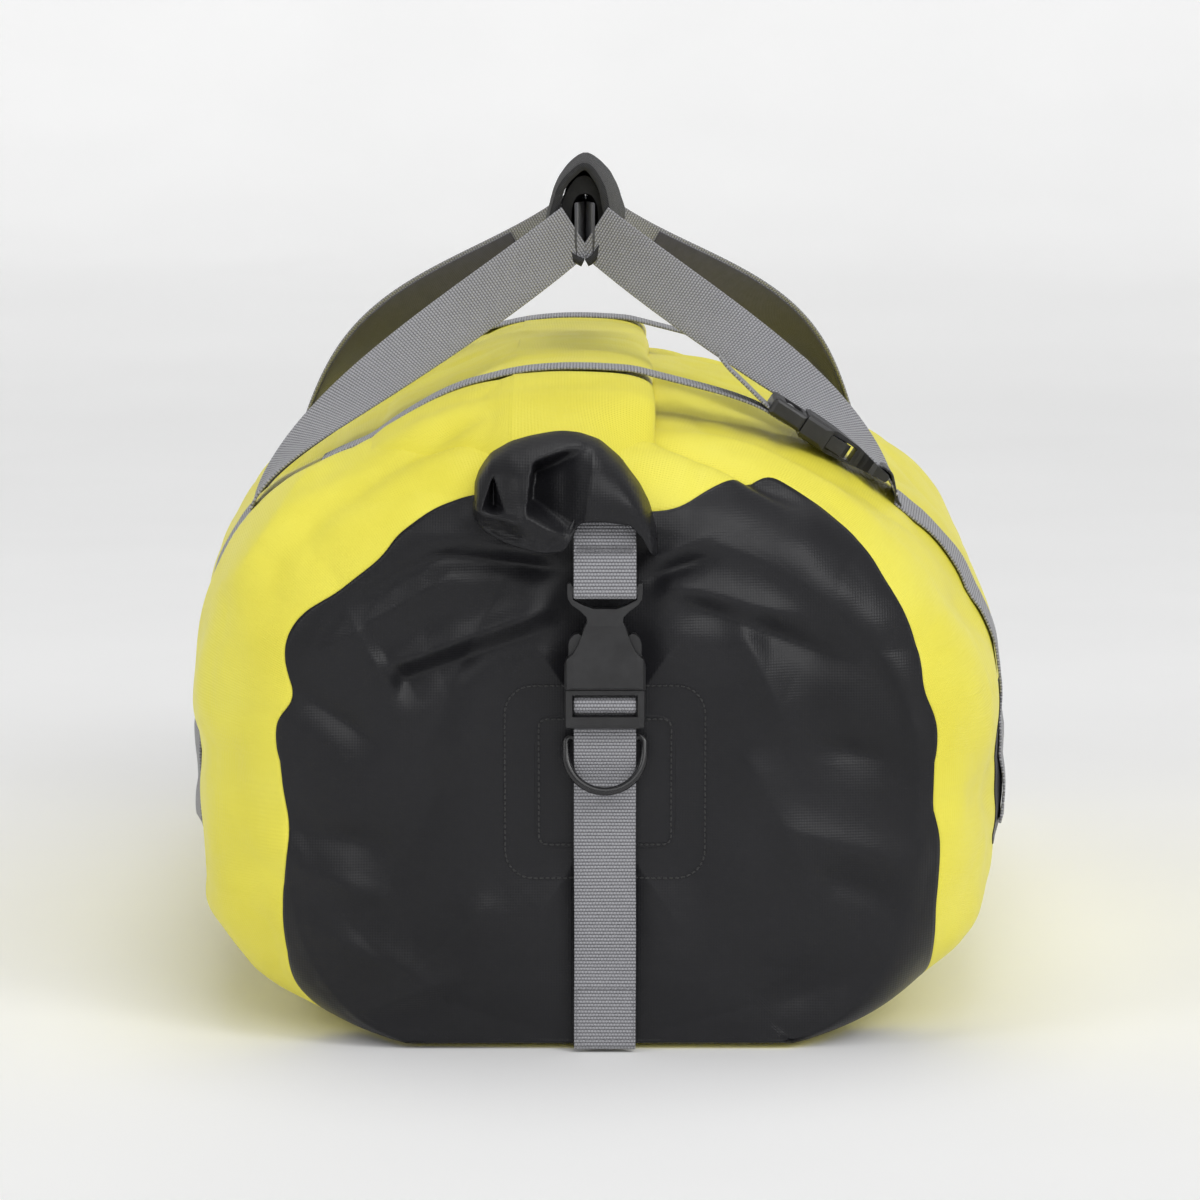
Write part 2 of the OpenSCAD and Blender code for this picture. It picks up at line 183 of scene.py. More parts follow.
def base(theta, s):
    """A point of the smooth body. s runs along the skin from the middle of the bag to the middle of an end."""
    theta, s = np.broadcast_arrays(np.asarray(theta, float), np.asarray(s, float))
    side, a = np.sign(s), np.abs(s)
    phi = np.clip((a - CORNER_FROM) / CORNER_R, 0, math.pi / 2)
    y = np.where(a < CORNER_FROM, a, CORNER_FROM + CORNER_R * np.sin(phi))
    y = np.minimum(y, END_Y)
    x, z = section(y, 1 - np.cos(phi), theta)
    rho = np.clip((S_MIDDLE - a) / CAP_LEN, 0, 1)
    x = CAP_MIDDLE[0] + (x - CAP_MIDDLE[0]) * rho
    z = CAP_MIDDLE[1] + (z - CAP_MIDDLE[1]) * rho
    return np.stack([x, y * side, z], axis=-1)


def normals(theta, s):
    """Outward directions of the smooth body, straight along the bag on its ends."""
    e = 1e-3
    a = base(theta + e, s) - base(theta - e, s)
    b = base(theta, s + e) - base(theta, s - e)
    n = unit(np.cross(a, b))
    out = base(theta, s) - np.array([0, 0, BELLY])
    n[..., 1] = np.where(np.abs(s) > S_RING, np.sign(s), n[..., 1])
    flat = np.abs(s) > S_RING - 1e-3
    n[flat, 0] *= 0
    n[flat, 2] *= 0
    n = unit(n)
    return n * np.sign((n * out).sum(-1, keepdims=True))


# Folds of an end: start and end (x, z) in mm, height of the ridge (or depth of the groove), width.
END_FOLDS = [
    ((-70, 212), (-14, 204), 5.5, 4.5), ((-68, 204), (-12, 197), -7, 5), ((-50, 216), (-112, 178), -6, 7),
    ((-60, 196), (-120, 160), 5, 7), ((-105, 186), (-84, 150), 5, 8), ((-96, 176), (-74, 146), -4, 7),
    ((-82, 160), (-16, 184), 4.5, 5), ((-80, 152), (-16, 175), -4.5, 6), ((-38, 196), (-70, 128), -3.5, 9),
    ((16, 201), (42, 211), 5, 4), ((18, 194), (46, 203), -6, 4.5), ((40, 210), (68, 230), 5, 7),
    ((64, 212), (76, 226), -4.5, 5), ((80, 230), (100, 200), 5, 8), ((28, 192), (84, 178), 5, 7),
    ((34, 184), (100, 160), -5, 8), ((56, 176), (78, 130), 4.5, 8), ((98, 196), (124, 140), -4.5, 8),
    ((-126, 150), (-92, 128), -5, 7), ((-128, 92), (-88, 84), -4.5, 8), ((-124, 76), (-84, 62), 3.5, 8),
    ((-122, 52), (-70, 30), 4, 10), ((132, 116), (88, 126), -4.5, 8), ((134, 74), (78, 92), 4, 9),
    ((130, 58), (84, 74), -4, 8), ((128, 36), (70, 18), -4, 9), ((-104, 12), (-60, 30), 4, 7),
    ((60, 120), (92, 60), 3.5, 10), ((-62, 116), (-96, 50), -3.5, 10), ((-46, 60), (-90, 20), 3, 9)]
# Folds of the long skin: start and end (x, y, z) in mm, seen from the front end. The rear end has them too.
SIDE_FOLDS = [
    ((-52, -215, 250), (-128, -236, 196), -5, 10), ((-60, -160, 256), (-150, -206, 186), 3.5, 14),
    ((-122, -240, 180), (-162, -190, 146), -3.5, 12), ((26, -215, 250), (80, -238, 224), -6, 9),
    ((30, -190, 256), (110, -214, 214), 4, 12), ((112, -238, 186), (158, -176, 160), -4, 10),
    ((150, -240, 100), (172, -170, 90), -4, 12), ((-148, -240, 118), (-172, -180, 112), -4, 10),
    ((-146, -238, 60), (-166, -160, 46), 4, 12), ((140, -236, 44), (160, -150, 60), 4, 12),
    ((-120, -120, 236), (-170, -40, 130), -3.5, 16), ((110, -110, 236), (172, -30, 140), -3.5, 16),
    ((-90, -60, 246), (-165, -20, 170), 3, 16), ((90, -50, 246), (160, 0, 186), 3, 14),
    ((-172, -150, 80), (-120, -60, 8), 3, 14), ((170, -150, 80), (120, -40, 8), 3, 14)]


def along(p, a, b):
    """Distance from the segment a-b, and a share that fades out past its ends."""
    d = b - a
    t = ((p - a) @ d) / (d @ d)
    near = a + np.clip(t, 0, 1)[..., None] * d
    return np.linalg.norm(p - near, axis=-1), step(t, -0.25, 0.15) * (1 - step(t, 0.7, 1.25))


def folds(p, lines, power):
    """Height in mm of the ridges and creases (below 0) along the given lines."""
    total = 0
    for start, end, height, width in lines:
        d, share = along(p, np.array(start) * MM, np.array(end) * MM)
        total = total + height * share * np.exp(-np.abs(d / (width * MM)) ** power)
    return total


def relief(p, s):
    """How far the skin stands out from the smooth body at base points p."""
    a = np.abs(s)
    cap = step(a, S_RING - 0.02, S_RING + 0.02)
    side = 1 - cap
    free = step(p[..., 2], 0.004, 0.03)
    h = side * (3.4 * noise(p, (0.11, 0.15, 0.10), 3) + 3.2 * (crumple(p, (0.075, 0.10, 0.07), 5) - 0.5)
                + 1.4 * (crumple(p, (0.03, 0.042, 0.03), 11) - 0.5)) * free
    # The fabric rises to the roll, and the full left shoulder stands out more than the right one.
    lift = np.exp(-((p[..., 0] + 0.0145) / 0.062) ** 2) * step(p[..., 2], 0.2, 0.24)
    h = h + side * 5 * lift
    x, far = p[..., 0], np.abs(p[..., 1])
    shoulder = np.exp(-((far - 0.19) / 0.06) ** 2) * np.exp(-((p[..., 2] - 0.2) / 0.045) ** 2)
    h = h + side * np.where(x < 0, 6, -3) * shoulder
    bulge = np.exp(-((far - 0.205) / 0.032) ** 4) * step(-x, 0.09, 0.14)
    h = h + side * 4.6 * (x < 0) * free * bulge
    mirrored = p.copy()
    mirrored[..., 1] = -far
    h = h + side * folds(mirrored, SIDE_FOLDS, 1.9)
    # Each end is a soft cushion with folds that run from the hood and from the sewn patch.
    flat = p.copy()
    flat[..., 1] = np.sign(p[..., 1]) * 0.5
    r = np.linalg.norm((flat[..., [0, 2]] - CAP_MIDDLE) / np.array([0.125, 0.105]), axis=-1)
    x, z = p[..., 0] - 0.002, p[..., 2]
    held = np.exp(-(x / 0.023) ** 4) * (1 - step(z, 0.205, 0.22))
    patch = np.maximum(held, np.exp(-(x / 0.049) ** 6) * np.exp(-((z - 0.111) / 0.049) ** 6))
    wave = folds(p[..., [0, 2]], END_FOLDS, 1.5)
    wave = wave + 2.2 * noise(flat, (0.07, 1, 0.06), 21) + 1.7 * crumple(flat, (0.05, 1, 0.045), 23)
    wave = wave + 6 * (1 - np.clip(r, 0, 1) ** 2) ** 0.7
    h = h + cap * wave * (1 - 0.97 * patch) + cap * -0.6
    return np.clip(h, -9, 8.5) * MM


def skin(theta, s, lift=0.0):
    """A point of the visible skin, raised by lift and kept above the floor."""
    p = base(theta, s)
    h = relief(p, s) + lift
    out = p + normals(theta, s) * h[..., None]
    out[..., 2] = np.maximum(out[..., 2], 0.0008 + 0.8 * np.asarray(lift))
    return out


# ---------- meshes ----------
def add_smooth(name, mesh):
    """Puts a mesh in the scene as a smooth object."""
    mesh.polygons.foreach_set("use_smooth", [True] * len(mesh.polygons))
    mesh.update()
    obj = bpy.data.objects.new(name, mesh)
    bpy.context.scene.collection.objects.link(obj)
    return obj


def grid_mesh(name, rows, uv=None, wrap=False):
    """A mesh from a grid of points, with uv in metres. wrap joins the last column to the first."""
    rows = np.asarray(rows, float)
    m, n = rows.shape[:2]
    cols = n if wrap else n - 1
    i, j = np.meshgrid(np.arange(m - 1), np.arange(cols), indexing="ij")

    def corners(width, right):
        """The corners of each cell, in a grid of this width."""
        low, high = i * width, (i + 1) * width
        return np.stack([low + j, low + right, high + right, high + j], axis=-1)

    mesh = bpy.data.meshes.new(name)
    mesh.from_pydata(rows.reshape(-1, 3).tolist(), [], corners(n, (j + 1) % n).reshape(-1, 4).tolist())
    if uv is not None:
        uv = np.asarray(uv, float)
        if wrap:
            uv = np.concatenate([uv, 2 * uv[:, -1:] - uv[:, -2:-1]], axis=1)
        layer = mesh.uv_layers.new(name="UVMap")
        corner = corners(uv.shape[1], j + 1).reshape(-1)
        layer.data.foreach_set("uv", uv.reshape(-1, 2)[corner].reshape(-1))
    return add_smooth(name, mesh)


def solid_between(name, outer, inner):
    """A closed solid between two open grids of points of the same shape."""
    m, n = outer.shape[:2]
    loop = np.concatenate([outer, inner[:, ::-1]], axis=1)
    obj = grid_mesh(name, loop, wrap=True)
    mesh = bmesh.new()
    mesh.from_mesh(obj.data)
    mesh.verts.ensure_lookup_table()
    for row in (0, m - 1):
        v = mesh.verts[row * 2 * n:(row + 1) * 2 * n]
        for k in range(n - 1):
            mesh.faces.new((v[k], v[k + 1], v[2 * n - 2 - k], v[2 * n - 1 - k]))
    bmesh.ops.recalc_face_normals(mesh, faces=mesh.faces)
    mesh.to_mesh(obj.data)
    mesh.free()
    return obj


def thicken(obj, t, offset=-1):
    """Solid fabric thickness, with its modifier applied."""
    mod = obj.modifiers.new("thickness", "SOLIDIFY")
    mod.thickness, mod.offset = t, offset
    apply_modifiers(obj)
    return obj


def apply_modifiers(obj):
    graph = bpy.context.evaluated_depsgraph_get()
    mesh = bpy.data.meshes.new_from_object(obj.evaluated_get(graph))
    obj.modifiers.clear()
    obj.data = mesh


def strap(name, centres, across, width, t):
    """Flat webbing swept along its centres. across holds the direction of its width at each centre."""
    centres, across = np.asarray(centres, float), unit(np.asarray(across, float))
    run = np.gradient(centres, axis=0)
    across = unit(across - (across * unit(run)).sum(-1, keepdims=True) * unit(run))
    up = np.cross(across, unit(run))
    w, h = width / 2, t / 2
    half = [(-w, 0), (-w + 0.15 * t, 0.75 * h), (-w + 0.5 * t, h), (-w / 2, 0.93 * h), (0, 0.9 * h),
            (w / 2, 0.93 * h), (w - 0.5 * t, h), (w - 0.15 * t, 0.75 * h)]
    ring = half + [(-x, -y) for x, y in half]
    rows = np.array([[c + a * x + u * y for x, y in ring] for c, a, u in zip(centres, across, up)])
    uv = np.array([[(x, v) for x, _ in ring] for v in length_along(centres)])
    rows = np.concatenate([np.repeat(centres[:1, None], len(ring), 1), rows,
                           np.repeat(centres[-1:, None], len(ring), 1)])
    uv = np.concatenate([uv[:1], uv, uv[-1:]])
    return grid_mesh(name, rows, uv, wrap=True)


def stitches(name, lines, normal, pitch=2.6 * MM, length=1.9 * MM, r=0.28 * MM):
    """Thread stitches along lines of points: short rounded rods, one mesh."""
    verts, faces = [], []
    ring = 6
    for line in lines:
        line = np.asarray(line, float)
        for at in np.arange(pitch / 2, length_along(line)[-1], pitch):
            a, b = points_at(line, [at - length / 2, at + length / 2])
            d = unit(b - a)
            up = np.asarray(normal(0.5 * (a + b)) if callable(normal) else normal, float)
            side = unit(np.cross(d, up))
            up = np.cross(side, d)
            start = len(verts)
            for q, k in ((0, 0.25), (0.12, 0.8), (0.5, 1), (0.88, 0.8), (1, 0.25)):
                for e in range(ring):
                    g = 2 * math.pi * e / ring
                    verts.append(a + (b - a) * q + k * r * (side * math.cos(g) + 0.8 * up * math.sin(g)))
            for m in range(4):
                for e in range(ring):
                    f = (e + 1) % ring
                    faces.append([start + m * ring + e, start + m * ring + f, start + (m + 1) * ring + f,
                                  start + (m + 1) * ring + e])
            faces.append([start + e for e in reversed(range(ring))])
            faces.append([start + 4 * ring + e for e in range(ring)])
    mesh = bpy.data.meshes.new(name)
    mesh.from_pydata([tuple(v) for v in verts], [], faces)
    return add_smooth(name, mesh)


# ---------- materials ----------
class Paint:
    """A material with a Principled shader and short calls for the nodes that feed it."""

    def __init__(self, name, rough=0.5, **sockets):
        self.m = bpy.data.materials.new(name)
        self.m.use_nodes = True
        self.tree = self.m.node_tree
        self.shader = self.tree.nodes["Principled BSDF"]
        self.shader.inputs["Roughness"].default_value = rough
        for key, value in sockets.items():
            self.shader.inputs[key.replace("_", " ")].default_value = value

    def node(self, kind, values=(), links=(), **settings):
        n = self.tree.nodes.new(kind)
        for key, value in settings.items():
            setattr(n, key, value)
        for key, value in dict(values).items():
            n.inputs[key].default_value = value
        for key, value in dict(links).items():
            self.tree.links.new(value, n.inputs[key])
        return n

    def coord(self, kind="Object"):
        return self.node("ShaderNodeTexCoord").outputs[kind]

    def noise(self, coord, scale, detail=3, rough=0.5):
        values = {"Scale": scale, "Detail": detail, "Roughness": rough}
        return self.node("ShaderNodeTexNoise", values, {"Vector": coord}).outputs["Fac"]

    def math(self, operation, a, b=None):
        n = self.node("ShaderNodeMath", operation=operation)
        for socket, value in zip(n.inputs, (a, b)):
            if isinstance(value, (int, float)):
                socket.default_value = value
            elif value is not None:
                self.tree.links.new(value, socket)
        return n.outputs[0]

    def sine(self, value, factor):
        return self.math("SINE", self.math("MULTIPLY", value, factor))

    def ramp(self, value, stops):
        n = self.node("ShaderNodeValToRGB", {}, {"Fac": value})
        el = n.color_ramp.elements
        while len(el) < len(stops):
            el.new(0.5)
        for e, (at, colour) in zip(el, stops):
            e.position, e.color = at, (*colour, 1)
        return n.outputs["Color"]

    def bump(self, height, distance, strength=1.0, after=None):
        links = {"Height": height} if after is None else {"Height": height, "Normal": after}
        values = {"Distance": distance, "Strength": strength}
        return self.node("ShaderNodeBump", values, links).outputs["Normal"]

    def use(self, **links):
        for key, value in links.items():
            self.tree.links.new(value, self.shader.inputs[key.replace("_", " ")])
        return self.m


def separate(paint, vector):
    return paint.node("ShaderNodeSeparateXYZ", {}, {"Vector": vector}).outputs


def coated_fabric(name, dark, mid, light, rough, scrim, uv):
    """Coated fabric: cloud-like colour variation, a faint woven scrim under the coating and fine grain."""
    p = Paint(name, rough, Specular_IOR_Level=0.3)
    obj = p.coord()
    cloud = p.noise(obj, 9, 4, 0.55)
    p.use(Base_Color=p.ramp(cloud, [(0.3, dark), (0.52, mid), (0.75, light)]))
    c = separate(p, p.coord("UV") if uv else obj)
    weave = p.math("ADD", *(p.sine(c[k], 2 * math.pi / scrim) for k in ("XY" if uv else "XZ")))
    grain = p.noise(obj, 1400, 2, 0.6)
    n = p.bump(weave, 0.00006, 0.5 if uv else 0.28)
    n = p.bump(grain, 0.00009, 0.35, n)
    n = p.bump(p.noise(obj, 60, 3, 0.6), 0.0012, 0.35, n)
    rough_map = p.math("ADD", p.math("MULTIPLY", p.noise(obj, 24, 3, 0.6), 0.16), rough - 0.08)
    return p.use(Normal=n, Roughness=rough_map)


def webbing(name, dark, light):
    """Woven webbing: rows of short ribs laid like bricks, from UVs in metres, with painted shade in the grooves
    between them.
    """
    p = Paint(name, 0.62, Sheen_Weight=0.25)
    c = separate(p, p.coord("UV"))
    row = p.math("DIVIDE", c["Y"], 1.36 * MM)
    odd = p.math("MULTIPLY", p.math("MODULO", p.math("FLOOR", row), 2), 0.5)
    rib = p.math("ABSOLUTE", p.sine(row, math.pi))
    column = p.math("ADD", p.math("DIVIDE", c["X"], 1.3 * MM), odd)
    pill = p.math("ABSOLUTE", p.sine(column, math.pi))
    height = p.math("MULTIPLY", p.math("POWER", rib, 0.7), p.math("ADD", p.math("MULTIPLY", pill, 0.55), 0.45))
    fuzz = p.noise(p.coord(), 900, 3, 0.7)
    patchy = p.noise(p.coord(), 40, 3, 0.6)
    # Colour: painted shade, much darker in the grooves between the ribs and pills, plus random fuzz and patchy
    # tone.
    weave_shade_and_tone = p.math("ADD", p.math("MULTIPLY", height, 0.8),
                  p.math("ADD", p.math("MULTIPLY", fuzz, 0.25), p.math("MULTIPLY", patchy, 0.12)))
    p.use(Base_Color=p.ramp(weave_shade_and_tone, [(0.18, dark), (0.85, light)]))
    n = p.bump(height, 0.0005, 0.9)
    return p.use(Normal=p.bump(fuzz, 0.00012, 0.4, n))


def plastic(name, colour, rough, grain, bevel=0.0005):
    """Moulded plastic with softened edges, a fine spark-eroded grain and slight handling marks."""
    p = Paint(name, rough)
    obj = p.coord()
    edge = p.node("ShaderNodeBevel", {"Radius": bevel}, samples=4).outputs["Normal"]
    light = tuple(c * 1.7 + 0.004 for c in colour)
    p.use(Base_Color=p.ramp(p.noise(obj, 120, 3, 0.6), [(0.35, colour), (0.8, light)]))
    n = p.bump(p.noise(obj, 2600, 2, 0.5), 0.00006, grain, edge)
    rough_map = p.math("ADD", p.math("MULTIPLY", p.noise(obj, 90, 4, 0.7), 0.2), rough - 0.1)
    return p.use(Normal=n, Roughness=rough_map)


def cloth(name, dark, light, pitch, rough=0.75, sheen=0.3, depth=0.0002):
    """Plain woven cover fabric, with painted shade where the weave dips."""
    p = Paint(name, rough, Sheen_Weight=sheen)
    obj = p.coord()
    c = separate(p, obj)
    turns = 2 * math.pi / pitch
    weave = p.math("MULTIPLY", p.sine(p.math("ADD", c["X"], c["Z"]), turns), p.sine(c["Y"], turns))
    # Colour: painted shade, darker where the weave dips, plus random tone.
    weave_shade_and_tone = p.math("ADD", p.math("MULTIPLY", weave, 0.25), p.noise(obj, 260, 4, 0.7))
    p.use(Base_Color=p.ramp(weave_shade_and_tone, [(0.25, dark), (0.8, light)]))
    return p.use(Normal=p.bump(p.noise(obj, 700, 3, 0.6), depth, 0.5, p.bump(weave, depth, 0.6)))


YELLOW = coated_fabric("yellow_tarpaulin", (0.76, 0.68, 0.060), (0.82, 0.745, 0.085), (0.86, 0.80, 0.125),
                       0.45, 1.3 * MM, True)
BLACK = coated_fabric("black_tarpaulin", (0.0075, 0.0075, 0.0090), (0.0100, 0.0100, 0.0120),
                      (0.0140, 0.0140, 0.0165), 0.40, 1.1 * MM, False)
GREY_WEB = webbing("grey_webbing", (0.055, 0.055, 0.062), (0.36, 0.36, 0.385))
BLACK_WEB = webbing("black_webbing", (0.006, 0.006, 0.007), (0.035, 0.035, 0.038))
LINING = cloth("dark_lining", (0.030, 0.028, 0.036), (0.055, 0.051, 0.066), 0.8 * MM, 0.6, 0.35, 0.00008)
GRIP_FABRIC = cloth("grip_fabric", (0.008, 0.008, 0.009), (0.026, 0.026, 0.029), 1.0 * MM, 0.78, 0.08)
HOOKS = cloth("hook_tape", (0.006, 0.006, 0.006), (0.03, 0.03, 0.03), 1.4 * MM, 0.85, 0.1, 0.0006)
LOOPS = cloth("loop_tape", (0.010, 0.010, 0.010), (0.045, 0.045, 0.045), 0.9 * MM, 0.95, 0.6, 0.0005)
FOAM = cloth("foam", (0.004, 0.004, 0.004), (0.011, 0.011, 0.012), 1.2 * MM, 0.95, 0.0, 0.0003)
BUCKLE = plastic("buckle_plastic", (0.012, 0.012, 0.013), 0.4, 0.6)
RING = plastic("ring_plastic", (0.010, 0.010, 0.011), 0.22, 0.1, 0.0002)
STIFF = plastic("stiffener_plastic", (0.02, 0.02, 0.02), 0.5, 0.5)
GREY_THREAD = cloth("grey_thread", (0.10, 0.10, 0.11), (0.26, 0.26, 0.28), 0.5 * MM, 0.6, 0.3, 0.0001)
BLACK_THREAD = cloth("black_thread", (0.004, 0.004, 0.004), (0.02, 0.02, 0.02), 0.5 * MM, 0.6, 0.3, 0.0001)


def finish_piece(obj, material, body, nodes=()):
    obj.data.materials.clear()
    obj.data.materials.append(material)
    if nodes:
        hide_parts(*nodes)
    if body:
        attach(obj, body)
    return obj


# ---------- skin, end panels and welded patches ----------
# Edge of each black end panel, in mm from the middle of the floor: wavy, where the fabric puckers at its weld.
WELD = [(-48, 223), (-76, 211), (-87, 200), (-104, 187), (-119, 176), (-125, 162), (-123, 145), (-130, 134),
        (-129, 115), (-125, 92), (-129, 60), (-126, 30), (-117, 16), (-105, 7), (-86, 2.5), (-40, 2.5),
        (16, 3), (60, 3), (92, 4), (119, 10), (133, 25), (135, 60), (136, 84), (132, 106), (134, 132),
        (129, 148), (127, 164), (116, 187), (105, 205), (92, 217), (81, 226), (68, 233), (56, 231), (42, 226),
        (22, 219)]
THETAS = 540                               # points round the skin


def weld_line():
    """For each angle round the end, how far along the skin the weld lies."""
    edge = curve(WELD, 1200, closed=True) * MM
    theta = np.linspace(0, 2 * math.pi, THETAS, endpoint=False)
    s = np.linspace(CORNER_FROM - 0.03, S_MIDDLE - 0.02, 1100)
    p = base(theta[:, None], -s)[..., [0, 2]] - CAP_MIDDLE
    r, bearing = np.linalg.norm(p, axis=-1), np.arctan2(p[..., 1], p[..., 0])
    e = edge - CAP_MIDDLE
    angle, reach = np.arctan2(e[:, 1], e[:, 0]), np.linalg.norm(e, axis=1)
    order = np.argsort(angle)
    reach = np.interp(bearing, angle[order], reach[order], period=2 * math.pi)
    found = s[np.argmax(r < reach, axis=1)]
    # Low down the weld stays on the rounding, so the panel doesn't run in along the floor.
    return theta, np.maximum(found, CORNER_FROM + np.where(theta > math.pi * 0.95, 0.012, -0.03))


def smooth_ring(v, times):
    for _ in range(times):
        v = (np.roll(v, 1) + 2 * v + np.roll(v, -1)) / 4
    return v


def make_skin():
    """The yellow skin from weld to weld, dipping under the edge of the black panel at each end."""
    theta, weld = weld_line()
    weld = smooth_ring(weld, 6)
    t = np.linspace(-1, 1, 331)[:, None]
    s = np.sign(t) * np.abs(t) ** 0.9 * (weld + 0.006)
    under = -0.9 * MM * step(np.abs(s) - weld, -0.003, -0.0008)
    rows = skin(theta + 0 * s, s, under)
    around = np.linspace(0, 1.0, THETAS, endpoint=False)
    uv = np.stack([np.broadcast_to(around, s.shape), s], axis=-1)
    body = thicken(grid_mesh("yellow_skin", rows, uv, wrap=True), 0.8 * MM)
    finish_piece(body, YELLOW, "bag", ["body_tube"])
    for sign, name in ((-1, "front"), (1, "rear")):
        q = np.linspace(0, 1, 150)[:, None]
        first = weld - 1.5 * MM
        s = first + (S_MIDDLE - 1e-4 - first) * q ** 0.85
        rows = skin(theta + 0 * s, sign * s, 0.85 * MM)
        panel = grid_mesh(name + "_panel", rows if sign < 0 else rows[:, ::-1], wrap=True)
        thicken(panel, 0.7 * MM)
        finish_piece(panel, BLACK, "bag", [name + "_end_panel"])


def end_points(x, z, side, lift):
    """Points on the end panel, raised by lift."""
    p = np.stack([x, np.full_like(x, side * END_Y), z], axis=-1)
    p[..., 1] = side * (END_Y + relief(p, np.full_like(x, side * (S_MIDDLE - 0.01))) + lift)
    return p


def end_patch(name, node, w, h, lift, t):
    """Welded patch with rounded corners that follows the end panel."""
    side = -1 if name.startswith("front") else 1
    lo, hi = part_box(node)
    cx, cz = (lo.x + hi.x) / 2, (lo.z + hi.z) / 2
    u = np.linspace(-1, 1, 61)
    gx, gz = np.meshgrid(u, u, indexing="ij")
    # A square grid pressed into a rounded rectangle.
    ax, az = np.abs(gx), np.abs(gz)
    k = (ax ** 8 + az ** 8 + 1e-12) ** (1 / 8) / np.maximum(np.maximum(ax, az), 1e-6)
    x, z = cx + gx / k * w / 2, cz + gz / k * h / 2
    p = end_points(x, z, side, lift)
    obj = thicken(grid_mesh(name, p if side < 0 else p[::-1]), t, 1)
    bevel = obj.modifiers.new("edge", "BEVEL")
    bevel.width, bevel.segments, bevel.limit_method = 0.3 * MM, 2, "ANGLE"
    apply_modifiers(obj)
    return finish_piece(obj, BLACK, "bag", [node])


make_skin()


# ---------- mouth roll and the hoods at its ends ----------
roll_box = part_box("mouth_roll")
ROLL_X = (roll_box[0].x + roll_box[1].x) / 2
ROLL_Z = roll_box[1].z - 8 * MM
ROLL_END = roll_box[1].y
ROLL_LEVEL = ROLL_END - 85 * MM
PANEL = -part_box("front_end_panel")[0].y


def roll_drop(y):
    return 18 * MM * np.clip((np.abs(y) - ROLL_LEVEL) / (ROLL_END - ROLL_LEVEL), 0, 1.3) ** 1.8


def skin_height(y, x):
    """Height of the tube's visible skin over x, on the section at y."""
    theta = np.linspace(0.05, math.pi - 0.05, 500)
    p = skin(theta, np.full_like(theta, y))
    order = np.argsort(p[:, 0])
    return np.interp(x, p[order, 0], p[order, 2])


def end_taper(y):
    """From 0 on the level part of the roll to 1 where its hood begins."""
    return step(np.abs(y), ROLL_LEVEL + 0.03, ROLL_END)


# The outer turn, (x, z) in mm from its tucked edge over the top: where the roll is level, and at its hood.
ROLL_LEVEL_SECTION = np.array([(2, -6.6), (12, -7.2), (19, -6.4), (22.2, -2.5), (22, 2.2), (17, 5.4),
                               (8, 7.3), (-6, 8.1), (-20, 8), (-36, 6.6)])
ROLL_END_SECTION = np.array([(6, -16), (14, -20), (19, -26), (22, -27), (20.5, -20), (16, -12),
                             (8, -4), (-4, 3.5), (-18, 5), (-36, 1.5)])
TURN = 90                                  # points round the outer turn


def roll_line(y):
    """Outer turn of the roll at y: tucked under on the right, over the top and down to the tube on the left."""
    end = float(end_taper(y))
    reach = 0.110 - 0.055 * end
    right = curve(ROLL_LEVEL_SECTION + end * (ROLL_END_SECTION - ROLL_LEVEL_SECTION), TURN)
    x = np.concatenate([right[:, 0], np.linspace(-37, -(reach / MM + 1), 70)]) * MM
    z = np.empty_like(x)
    middle = ROLL_Z - float(roll_drop(y))
    z[:TURN] = middle + right[:, 1] * MM
    out = -x[TURN:]
    slope = skin_height(y, -out)
    rise = z[TURN - 1] - skin_height(y, x[TURN - 1:TURN])[0]
    fade = 1 - step(out, 0.030, reach)
    z[TURN:] = slope + (rise - 0.4 * MM) * fade + 0.4 * MM - 5 * MM * step(out, reach - 0.022, reach)
    return np.stack([x, z], axis=1)


def top_height(y, x):
    """Height of whatever is on top at (x, y): the roll and its slope, or the skin."""
    line = roll_line(y)[40:]
    order = np.argsort(line[:, 0])
    return np.maximum(np.interp(x, line[order, 0], line[order, 1], left=0, right=0), skin_height(y, x))


def make_roll():
    y = np.linspace(-ROLL_END - 6 * MM, ROLL_END + 6 * MM, 220)
    rows = []
    for v in y:
        line = roll_line(v)
        p = np.stack([line[:, 0], np.full(len(line), v), line[:, 1]], axis=1)
        over = step(line[:, 1], line[:, 1].max() - 0.015, line[:, 1].max())
        swell = 1.4 * noise(p, (0.07, 0.05, 0.2), 31) + 1.0 * crumple(p, (0.06, 0.035, 0.2), 33)
        pinch = -1.3 * math.exp(-((abs(v) - STRAP_Y) / 0.014) ** 2)
        p[:, 2] += (swell + pinch) * over * MM
        p[:, 0] += 1.4 * MM * noise(p, (0.3, 0.07, 0.3), 35) * (np.arange(len(p)) < TURN)
        rows.append(p)
    uv = np.stack(np.meshgrid(length_along(roll_line(0)), y), axis=-1)
    roll = thicken(grid_mesh("rolled_mouth", np.array(rows)[:, ::-1], uv[:, ::-1]), 0.9 * MM, 0)
    finish_piece(roll, YELLOW, "bag", ["mouth_roll"])
    # The inner turns, seen where the outer one is tucked in.
    turn = [(20, -4.5), (19.5, 0), (14, 3.6), (-20, 5), (-46, 3.5), (-49, -0.5), (-46, -4.2), (-20, -5),
            (10, -5), (14, -3), (12, 0.5), (-20, 2), (-40, 0.5)]
    line = curve(turn, 120) * MM
    y = np.linspace(-ROLL_LEVEL, ROLL_LEVEL, 60)
    core = np.array([[(q[0], v, ROLL_Z + 0.8 * q[1]) for q in line] for v in y])
    uv = np.stack(np.meshgrid(np.arange(len(line)) * 0.002, y), axis=-1)
    core = thicken(grid_mesh("inner_turns", core, uv), 0.8 * MM, 0)
    finish_piece(core, YELLOW, "bag")


